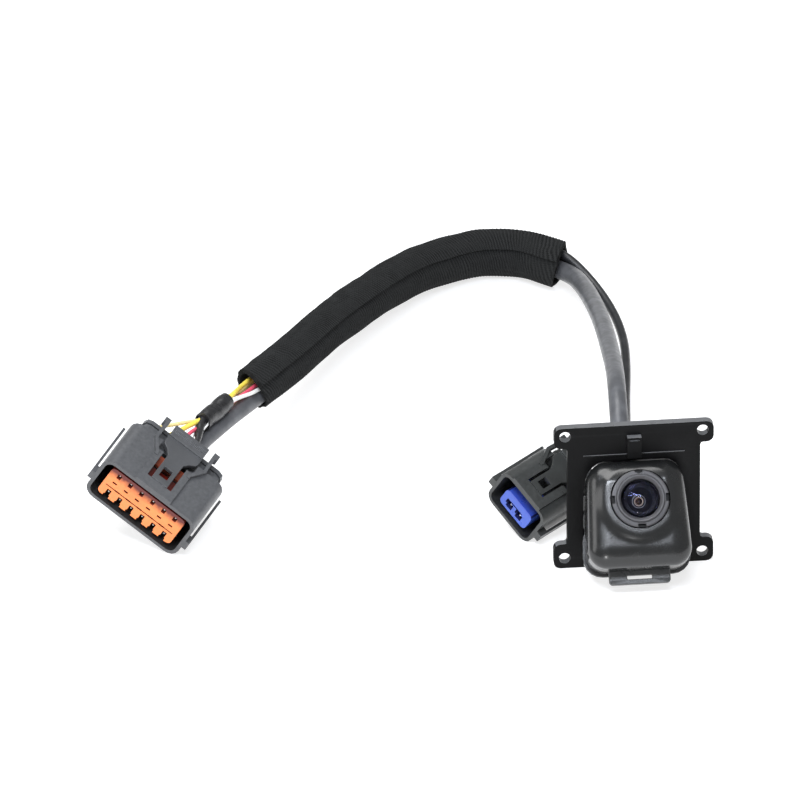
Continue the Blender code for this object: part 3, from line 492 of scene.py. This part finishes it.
def camera_point(x, up, out):
    tilt = math.radians(TILT)
    return Vector((x, FACE_Y + up * math.sin(tilt) - out * math.cos(tilt),
                   FACE_Z + up * math.cos(tilt) + out * math.sin(tilt)))


def connector_matrix(place, turn):
    about, pitch, roll = (math.radians(angle) for angle in turn)
    turned = Matrix.Rotation(about, 3, "Z") @ Matrix.Rotation(pitch, 3, "X") @ Matrix.Rotation(roll, 3, "Y")
    return Matrix.Translation(Vector(place)) @ turned.to_4x4()


def cord_object(node, points, diameter, look, slot, resolution=6):
    """A round cord along design points, standing for its CAD node."""
    curve = bpy.data.curves.new(node + "_cord", "CURVE")
    curve.dimensions = "3D"
    spline = curve.splines.new("POLY")
    spline.points.add(len(points) - 1)
    for target, point in zip(spline.points, points):
        target.co = (*in_frame(point), 1.0)
    spline.use_smooth = True
    curve.bevel_depth = diameter / 2 * MM
    curve.bevel_resolution = resolution
    curve.use_fill_caps = True
    curve.materials.append(look)
    made = bpy.data.objects.new(node + "_cord", curve)
    bpy.context.scene.collection.objects.link(made)
    return finish_piece(made, "kit", slot, node)


def tube(name, points, outer, inner, sides, look, inner_every=8, smooth_below=60.0, cut=None):
    """An open tube with a wall, with its distance along and round kept in the "route" attribute.

    outer(share, travelled, turn) and inner(share, turn) give the radius. cut(travelled, height) is how far
    a point moves along the tube, where height runs from -1 to 1 towards FACING.
    """
    bm = bmesh.new()
    layer = bm.verts.layers.float_vector.new("route")
    travelled, shells, distances = 0.0, [], []
    last = None
    places = frames(points)
    cut = cut or (lambda travelled, height: 0.0)

    def vertex(number, turn, size, inside):
        point, tangent, side, up = places[number]
        angle = 2.0 * math.pi * turn + SEAM_ANGLE
        way = side * math.cos(angle) + up * math.sin(angle)
        height = way.dot(FACING)
        vert = bm.verts.new(in_frame(point + way * size + tangent * cut(distances[number], height)))
        vert[layer] = (distances[number] * MM, turn * 2.0 * math.pi * SLEEVE_OUTER * MM, inside)
        return vert

    for number, (point, _, _, _) in enumerate(places):
        travelled += (point - last).length if last else 0.0
        last = point
        distances.append(travelled)
        share = number / (len(places) - 1)
        shells.append([vertex(number, i / sides, outer(share, travelled, i / sides), 0.0)
                       for i in range(sides + 1)])
    chosen = [*range(0, len(places) - 1, inner_every), len(places) - 1]
    inside = []
    for number in reversed(chosen):
        share = number / (len(places) - 1)
        inside.append([vertex(number, i / sides, inner(share, i / sides), 1.0) for i in range(sides + 1)])
    loop = shells + inside
    for one, two in zip(loop, loop[1:] + loop[:1]):
        for i in range(sides + 1):
            j = (i + 1) % (sides + 1)
            bm.faces.new((one[i], one[j], two[j], two[i]))
    return object_from(name, bm, look, smooth_below)


# Camera


def make_camera():
    azimuth, elevation = math.radians(CAMERA_AZIMUTH), math.radians(CAMERA_ELEVATION)
    back = Vector((math.sin(azimuth) * math.cos(elevation), -math.cos(azimuth) * math.cos(elevation),
                   math.sin(elevation)))
    data = bpy.data.cameras.new("camera")
    data.sensor_width = SENSOR_WIDTH
    data.lens = SENSOR_WIDTH / VIEW_WIDTH * CAMERA_DISTANCE
    data.clip_start, data.clip_end = 0.1, 50.0
    made = bpy.data.objects.new("camera", data)
    made.location = (Vector(CAMERA_TARGET) + back * CAMERA_DISTANCE) * MM
    made.rotation_euler = (-back).to_track_quat("-Z", "Y").to_euler()
    bpy.context.scene.collection.objects.link(made)
    bpy.context.scene.camera = made


make_camera()

# Cords

main_matrix = connector_matrix(MAIN_PLACE, MAIN_TURN)
aux_matrix = connector_matrix(AUX_PLACE, AUX_TURN)
exit_points = [camera_point(TURRET_X, up, TURRET_Z) for up in (9.2, 16.0, 22.0, 27.5)]
jacket_end = [main_matrix @ Vector((2.6, 40.5, -2.7)), main_matrix @ Vector((2.4, 35.4, -3.4))]
camera_route = [*exit_points, *CAMERA_FREE, *CAMERA_IN_SLEEVE, *CAMERA_TO_MAIN, *jacket_end]
fine_route = smooth(camera_route, 1.0)

camera_points = relaxed(smooth(camera_route, 2.2))
camera_cable = cord_object("camera_cable", camera_points, CAMERA_CABLE, JACKET, "cable_jacket", 10)
aux_start = [aux_matrix @ Vector((0.0, 38.0, -2.4)), aux_matrix @ Vector((0.2, 43.0, -2.0))]
aux_route = relaxed(smooth([*aux_start, *AUX_ROUTE], 1.8), 6)[::-1]
aux_cable = cord_object("aux_cable", aux_route, AUX_CABLE, THIN_JACKET, "cable_jacket", 8)

for number, x in ((1, -2.3), (2, 2.3)):
    near = 0.75 if x > 0 else -0.75
    wire_route = [aux_matrix @ Vector(p) for p in ((x, 21.5, -2.4), (x, 28.0, -2.4), (near, 34.5, -2.4),
                                                   (near, 37.6, -2.4))]
    cord_object(f"aux_wire_{number}", smooth(wire_route, 0.8), CORE, BLACK_WIRE, "aux_insulation")

bundle, mouth, tape_start, tape_end = (
    route_frame(fine_route, place) for place in (BUNDLE_START, SLEEVE_END, TAPE_START, TAPE_END))
tape_middle = route_frame(fine_route, [(a + b) / 2 for a, b in zip(TAPE_START, TAPE_END)])
wire_looks = {"yellow_wire": YELLOW, "pink_wire": PINK, "white_wire": WHITE, "cream_wire": CREAM}
for name, diameter, in_sleeve, in_tape, (x, z) in WIRES:
    wire_route = [beside(bundle, *in_sleeve), beside(mouth, *in_sleeve), beside(tape_start, *in_tape),
                  beside(tape_middle, *in_tape), beside(tape_end, *in_tape),
                  main_matrix @ Vector((0.55 * x - 0.4, 36.0, 4.4)), main_matrix @ Vector((x, 29.0, z)),
                  main_matrix @ Vector((x, 23.3, z))]
    points = smooth(wire_route, 1.0)
    wire = cord_object(name, points, diameter, wire_looks[name], name.replace("wire", "insulation"))

core_looks = {"violet_core": VIOLET, "grey_core": GREY, "brown_core": BROWN}
for number, (name, x) in enumerate(CORES):
    start_x = 2.4 + 1.7 * (number - 1)
    core_route = [main_matrix @ Vector(p) for p in ((start_x, 34.5, -3.4), (0.5 * (start_x + x), 32.2, -3.9),
                                                    (x, 29.0, -4.3), (x, 23.3, -4.3))]
    cord_object(name, smooth(core_route, 0.7), CORE, core_looks[name], name.replace("core", "insulation"))

# Textile sleeve and tape


def sleeve_radius(share, travelled, turn):
    """The sleeve is one band wrapped round, so its outer layer ends in a step at the seam."""
    mouth_flare = 0.5 * (1.0 - share) ** 3
    lap = min(1.0, max(0.0, (turn - 0.6) / 0.22))
    lift = FLAP_STEP * lap * lap * (3.0 - 2.0 * lap)
    angle = turn * 6.283
    slack = 0.32 * noise.noise(Vector((travelled * 0.07, 4.0 * math.cos(angle), 4.0 * math.sin(angle))))
    wavy = 0.25 * noise.noise(Vector((travelled * 0.16, 7.0, 0.0))) * lap
    around = turn * 2.0 * math.pi * SLEEVE_OUTER
    rib = 0.11 * math.sin(2.0 * math.pi * (travelled + RIB_SLANT * around) / RIB_PITCH)
    return SLEEVE_OUTER - 0.45 + mouth_flare + lift + slack + wavy + rib


def sleeve_inside(share, turn):
    return SLEEVE_OUTER - SLEEVE_WALL - 0.35 + 0.5 * (1.0 - share) ** 3


def mouth_cut(travelled, height):
    """Both mouths are cut askew: at the end the side towards FACING reaches further, at the start less."""
    start = max(0.0, 1.0 - travelled / 14.0)
    end = max(0.0, 1.0 - (sleeve_length - travelled) / 24.0)
    reach = 8.6 * max(height, 0.0) + 3.8 * min(height, 0.0) - 1.6
    return end * end * reach - 3.4 * start * start * max(height, -0.3)


sleeve_points = smooth(SLEEVE_ROUTE, 0.36)
sleeve_length = length_of(sleeve_points)
sleeve = tube("textile_sleeve_knit", sleeve_points, sleeve_radius, sleeve_inside, 84, FELT, cut=mouth_cut)
finish_piece(sleeve, "kit", "knitted_textile", "textile_sleeve")


def tape_radius(share, travelled, turn):
    """A flattened winding: wider across than thick, each lap a step over the last."""
    winding = (travelled / 6.5 + turn) % 1.0
    flat = 0.42 * math.cos(4.0 * math.pi * (turn + 0.08))
    crease = 0.3 * noise.noise(Vector((travelled * 0.3, 3.0 * turn, 2.0)))
    return 3.15 + flat + 0.22 * (1.0 - winding) + crease


tape_line = [beside(one, -4.4, 4.7) for one in (tape_start, tape_end)]
tape_route = [tape_line[0].lerp(tape_line[1], share) for share in (0.22, 0.75, 1.25)]
tape = tube("tape_winding", smooth(tape_route, 0.3), tape_radius, lambda share, turn: 2.55, 48, TAPE, 4, 35.0)
finish_piece(tape, "kit", "tape", "tape_wrap")


def tail_radius(share, travelled, turn):
    crease = 0.2 * noise.noise(Vector((travelled * 0.35, 2.0 * turn, 9.0)))
    return 2.45 - 1.25 * share + 0.3 * math.cos(4.0 * math.pi * (turn + 0.1)) + crease


tail_end = main_matrix @ Vector((3.1, 30.5, 4.6))
tail_route = [tape_route[-2].lerp(tape_route[-1], 0.6), tape_route[-1], tail_end]
tape_tail = tube("tape_tail", smooth(tail_route, 0.4), tail_radius, lambda share, turn: 1.9 - 1.1 * share,
                 40, TAPE, 4)
finish_piece(tape_tail, "kit", "tape")

# Camera module

lens_matrix = (Matrix.Translation(in_frame((0.0, FACE_Y, FACE_Z)))
               @ Matrix.Rotation(math.radians(90.0 - TILT), 4, "X"))
axis_matrix = lens_matrix @ Matrix.Translation(Vector((LENS_X, LENS_UP, 0.0)) * MM)
# The lens axis again, in design millimetres.
bezel_matrix = (Matrix.Translation((0.0, FACE_Y, FACE_Z)) @ Matrix.Rotation(math.radians(90.0 - TILT), 4, "X")
                @ Matrix.Translation((LENS_X, LENS_UP, 0.0)))


def inside_by(x, y):
    """How far a point of the face lies inside the body's rounded outline."""
    x /= 1.0 - BODY_TAPER * (y / BODY_HALF_Y + 1.0) / 2.0
    over_x, over_y = abs(x) - BODY_HALF_X + BODY_RADIUS, abs(y) - BODY_HALF_Y + BODY_RADIUS
    corner = math.hypot(max(over_x, 0.0), max(over_y, 0.0))
    return max(0.0, BODY_RADIUS - corner - min(max(over_x, over_y), 0.0))


def rounded_ray(angle, inset):
    """Where a ray from the lens axis meets the body's rounded outline, inset by some millimetres."""
    half_x, half_y = BODY_HALF_X - inset, BODY_HALF_Y - inset
    radius = max(BODY_RADIUS - 0.6 * inset, 2.0)
    way = Vector((math.cos(angle), math.sin(angle)))
    low, high = 0.0, 60.0
    for _ in range(40):
        middle = (low + high) / 2
        x, y = way.x * middle + LENS_X, way.y * middle + LENS_UP
        x /= 1.0 - BODY_TAPER * (y / BODY_HALF_Y + 1.0) / 2.0
        dx, dy = max(abs(x) - (half_x - radius), 0.0), max(abs(y) - (half_y - radius), 0.0)
        inside = dx * dx + dy * dy < radius * radius and abs(x) < half_x and abs(y) < half_y
        low, high = (middle, high) if inside else (low, middle)
    return way.x * low + LENS_X, way.y * low + LENS_UP


def make_front_shell():
    """The front shell: a soft square with a collar that rises to the lens opening."""
    steps = 180
    angles = [2.0 * math.pi * i / steps for i in range(steps)]
    rings = []
    for step in range(29):
        share = 1.0 - (1.0 - step / 28) ** 2
        ring = []
        for angle in angles:
            x0, y0 = LENS_OPENING * math.cos(angle) + LENS_X, LENS_OPENING * math.sin(angle) + LENS_UP
            x1, y1 = rounded_ray(angle, 0.0)
            x, y = x0 + (x1 - x0) * share, y0 + (y1 - y0) * share
            off = min(1.0, max(0.0, (math.hypot(x - LENS_X, y - LENS_UP) - 11.4) / 3.2))
            collar = 0.9 * (1.0 - off * off * (3.0 - 2.0 * off))
            edge = 1.0 - min(1.0, inside_by(x, y) / FRONT_SOFT)
            drop = FRONT_DROP * (1.0 - math.sqrt(max(0.0, 1.0 - edge * edge)))
            ring.append((x, y, collar * (1.0 - edge) - drop))
        rings.append(ring)
    for z, inset in ((-9.0, 0.0), (FRONT_REAR + 0.35, 0.0), (FRONT_REAR + 0.1, 0.1), (FRONT_REAR, 0.35),
                     (FRONT_REAR, WALL), (-5.5, WALL), (-3.0, WALL + 1.6), (-WALL, WALL + 3.6)):
        rings.append([(*rounded_ray(angle, inset), z) for angle in angles])
    rings.append([(LENS_OPENING * math.cos(a) + LENS_X, LENS_OPENING * math.sin(a) + LENS_UP, -WALL)
                  for a in angles])
    bm = bmesh.new()
    loops = [[bm.verts.new(point) for point in ring] for ring in rings]
    for one, two in zip(loops, loops[1:] + loops[:1]):
        for i in range(steps):
            j = (i + 1) % steps
            bm.faces.new((one[i], one[j], two[j], two[i]))
    bmesh.ops.transform(bm, matrix=lens_matrix @ Matrix.Scale(MM, 4), verts=bm.verts)
    made = object_from("front_shell", bm, BODY, 40.0)
    return finish_piece(made, "kit", "body_plastic", "front_housing")


def rounded(half_x, half_y, radius, steps=6, centre=(0.0, 0.0)):
    """The outline of a rounded rectangle."""
    points = []
    for corner, (sx, sy) in enumerate(((1, 1), (-1, 1), (-1, -1), (1, -1))):
        for step in range(steps + 1):
            angle = math.radians(90.0 * (corner + step / steps))
            points.append((centre[0] + sx * (half_x - radius) + radius * math.cos(angle),
                           centre[1] + sy * (half_y - radius) + radius * math.sin(angle)))
    return points


def make_tab():
    """The slotted tab under the front shell."""
    middle, thick, soft = (0.0, -BODY_HALF_Y - 1.5), 1.1, 0.3
    rings = []
    for inset, z in ((soft, thick), (0.0, thick - soft), (0.0, soft - thick), (soft, -thick)):
        rings.append([(x, y, z - 12.6) for x, y in rounded(10.0 - inset, 2.8 - inset, 1.2, 6, middle)])
    slot_middle = (0.0, -BODY_HALF_Y - 2.0)
    for inset, z in ((0.0, -thick), (0.2, soft - thick), (0.2, thick - soft), (0.0, thick)):
        rings.append([(x, y, z - 12.6) for x, y in rounded(4.3 - inset, 0.85 - inset, 0.35, 6, slot_middle)])
    bm = bmesh.new()
    loops = [[bm.verts.new(point) for point in ring] for ring in rings]
    count = len(loops[0])
    for one, two in zip(loops, loops[1:] + loops[:1]):
        for i in range(count):
            j = (i + 1) % count
            bm.faces.new((one[i], one[j], two[j], two[i]))
    bmesh.ops.transform(bm, matrix=lens_matrix @ Matrix.Scale(MM, 4), verts=bm.verts)
    # The tab gets the paler painted-light copy of the body plastic.
    return finish_piece(object_from("front_tab", bm, TAB_PAINTED_LIGHT, 40.0), "kit", "body_plastic")


def make_rib(side, low, high):
    """A snap rib on the side of the housing, sitting in the gap of the plate's window."""
    rings = []
    for inset, x in ((0.3, -16.5), (0.1, -16.35), (0.0, -16.1), (0.0, -15.0)):
        rings.append([(side * x, 1.3 + y, (low + high) / 2 + z)
                      for y, z in rounded(1.9 - inset, (high - low) / 2 - inset, 0.6, 4)])
    bm = bmesh.new()
    loops = [[bm.verts.new(in_frame(point)) for point in ring] for ring in rings]
    count = len(loops[0])
    for one, two in zip(loops, loops[1:]):
        for i in range(count):
            j = (i + 1) % count
            bm.faces.new((one[i], one[j], two[j], two[i]))
    bm.faces.new(loops[0])
    bm.faces.new(loops[-1])
    return finish_piece(object_from("side_rib", bm, BODY, 40.0), "kit", "body_plastic")


make_front_shell()
make_tab()
for side in (1, -1):
    for low, high in ((14.6, 20.2), (21.4, 27.2)):
        make_rib(side, low, high)
moulding("rear_housing", REAR_SHELL, 0.3, "body_plastic")
# The plate's upward-facing faces get the painted highlight copy.
moulding("mounting_plate", PLATE, 0.4, "plate_plastic", segments=3, second=PLATE_TOP_HIGHLIGHT,
         chosen=lambda centre, normal: normal.z > 0.7)
moulding("lens_bezel", BEZEL, 0.18, "bezel_plastic", matrix=bezel_matrix, second=INNER_PLASTIC,
         chosen=lambda centre, _: 0.25 < centre.z < 1.15 and 8.0 < centre.xy.length < 9.35)
moulding("cable_grommet", BLACK_RUBBER, 0.25, "black_rubber")

# The front glass is a thin dome, so what lies under it keeps its place.
arch = [math.radians(4.5 * step) for step in range(20)]
dome = [(GLASS_RADIUS * math.cos(a), 0.4 + 2.0 * math.sin(a)) for a in arch] + [(0.0, 2.4)]
under = [((GLASS_RADIUS - 0.5) * math.cos(a), 0.4 + 1.5 * math.sin(a)) for a in arch] + [(0.0, 1.9)]
front_glass = lathe("front_glass", [*under[::-1], (GLASS_RADIUS - 0.5, -0.9), (GLASS_RADIUS, -0.9), *dome],
                    GLASS, 120, axis_matrix, closed=False)
finish_piece(front_glass, "kit", "coated_glass", "front_lens")

# The ring stack under the front glass, each ring a shallow turned piece.
RINGS = [
    ("aperture_cone", [(4.15, -2.1), (4.15, -5.3), (2.25, -5.3), (2.25, -4.9)], INNER_PLASTIC),
    ("outer_bright_ring", [(2.24, -5.3), (2.24, -4.95), (2.12, -4.75), (1.96, -4.95), (1.96, -5.3)],
     inner_coating("pale_ring", (0.55, 0.55, 0.53), 0.25)),
    ("dark_ring", [(1.95, -5.3), (1.95, -5.15), (1.56, -5.15), (1.56, -5.3)], INNER_PLASTIC),
    ("inner_bright_ring", [(1.55, -5.3), (1.55, -4.95), (1.4, -4.75), (1.12, -4.95), (1.12, -5.3)],
     inner_coating("sand_ring", (0.6, 0.46, 0.33), 0.25)),
]
for name, profile, look in RINGS:
    finish_piece(lathe(name, profile, look, 64, axis_matrix), "kit", "inner_plastic")
eye = lathe("iris_lens", [(0.0, -5.3), (1.11, -5.3), (1.11, -5.05), (0.8, -4.8), (0.45, -4.66), (0.0, -4.6)],
            inner_coating("amber_coating", (0.045, 0.018, 0.008), 0.06), 48, axis_matrix, closed=False)
finish_piece(eye, "kit", "coated_glass", "inner_lens")

# Connectors

# Prefix, matrix, shell looks, then the well's half width and heights and the tower's outline.
SHELLS = [
    ("main", main_matrix, GREY_SHELL, "grey_plastic", (17.2, -8.3, 8.3), (-14.7, 14.7, -6.6, 6.6)),
    ("aux", aux_matrix, DARK_SHELL, "dark_plastic", (9.5, -7.3, 7.3), (-6.3, 6.4, -5.4, 2.2)),
]
RETAINERS = {"main": (ORANGE, ORANGE_HOLE_SHADE, "orange_plastic"), "aux": (BLUE, BLUE_HOLE_SHADE, "blue_plastic")}
for prefix, matrix, look, slot, (well, low, high), (x0, x1, z0, z1) in SHELLS:
    # Faces inside the hood's well get the painted shade.
    moulding(f"{prefix}_connector_housing", look, 0.25, slot, matrix=matrix, second=HOOD_PAINTED_SHADE,
             chosen=lambda at, _: 0.3 < at.y < 19.9 and abs(at.x) < well and low < at.z < high)
    moulding(f"{prefix}_connector_rear_cover", look, 0.25, slot)
    moulding(f"{prefix}_connector_latch", look, 0.2, slot, f"{prefix}_latch")
    # Faces set back more than 0.92 mm inside the retainer's tower outline get its painted hole shade.
    cap, hole_shade, cap_slot = RETAINERS[prefix]
    moulding(f"{prefix}_connector_retainer", cap, 0.14, cap_slot, f"{prefix}_retainer", matrix=matrix,
             second=hole_shade, chosen=lambda at, _: (at.y > 0.92 and x0 + 0.2 < at.x < x1 - 0.2
                                                 and z0 + 0.2 < at.z < z1 - 0.2))

# Looks of the nodes that keep their CAD shape

KEPT = {
    "seal_rubber": GASKET, "orange_rubber": SEAL, "black_rubber": BLACK_RUBBER,
    "inner_plastic": INNER_PLASTIC, "sensor_ceramic": INNER_PLASTIC, "circuit_board": BOARD,
    "screw_steel": TINNED, "tinned_contact": TINNED, "coated_glass": GLASS,
}
slot_of = {part["node"]: part["material_slot"] for part in frame["record"]["subparts"]}
for name, node in nodes.items():
    if not node.hide_render:
        node.data.materials.clear()
        node.data.materials.append(KEPT[slot_of[name]])


# Floor and light


def make_floor():
    """A level pale lit floor, clear of any view from behind."""
    bm = bmesh.new()
    half = 4.0
    corners = ((-half, -half), (half, -half), (half, half), (-half, half))
    bm.faces.new([bm.verts.new((x, y, 0.0)) for x, y in corners])
    look = Look("floor_acrylic", (0.5, 0.5, 0.5), 0.9, Specular_IOR_Level=0.1, Emission_Strength=0.72)
    look.shader.inputs["Emission Color"].default_value = (1.0, 1.0, 1.0, 1.0)
    tone = look.mixed(look.span(look.noise(400.0, 2.0), 0.0, 1.0), (0.48, 0.48, 0.48), (0.52, 0.52, 0.52))
    floor = object_from("floor", bm, look.paint(tone), 60.0)


def area_light(name, place, target, size, power, colour=(1.0, 1.0, 1.0)):
    data = bpy.data.lights.new(name, "AREA")
    data.shape = "RECTANGLE"
    data.size, data.size_y = size
    data.energy = power
    data.color = colour
    made = bpy.data.objects.new(name, data)
    made.location = place
    made.rotation_euler = (Vector(target) - Vector(place)).to_track_quat("-Z", "Y").to_euler()
    bpy.context.scene.collection.objects.link(made)


def make_light():
    world = bpy.data.worlds.new("studio")
    bpy.context.scene.world = world
    world.use_nodes = True
    world.node_tree.nodes["Background"].inputs["Color"].default_value = (1.0, 1.0, 1.0, 1.0)
    world.node_tree.nodes["Background"].inputs["Strength"].default_value = 0.4
    area_light("overhead_softbox", (-0.3, 0.25, 1.4), (-0.07, 0.08, 0.0), (1.1, 0.8), 15.0)
    area_light("left_softbox", (-1.3, -0.25, 0.55), (-0.02, 0.0, 0.03), (0.5, 0.7), 3.0)
    area_light("front_strip", (-0.16, -0.465, 0.75), (0.0, -0.02, 0.03), (0.5, 0.1), 6.5, (0.86, 0.91, 1.0))
    area_light("low_front_lamp", (-0.14, -0.9, 0.05), (0.0, -0.02, 0.03), (0.045, 0.045), 1.2)
    bpy.context.scene.view_settings.view_transform = "Standard"


make_floor()
make_light()
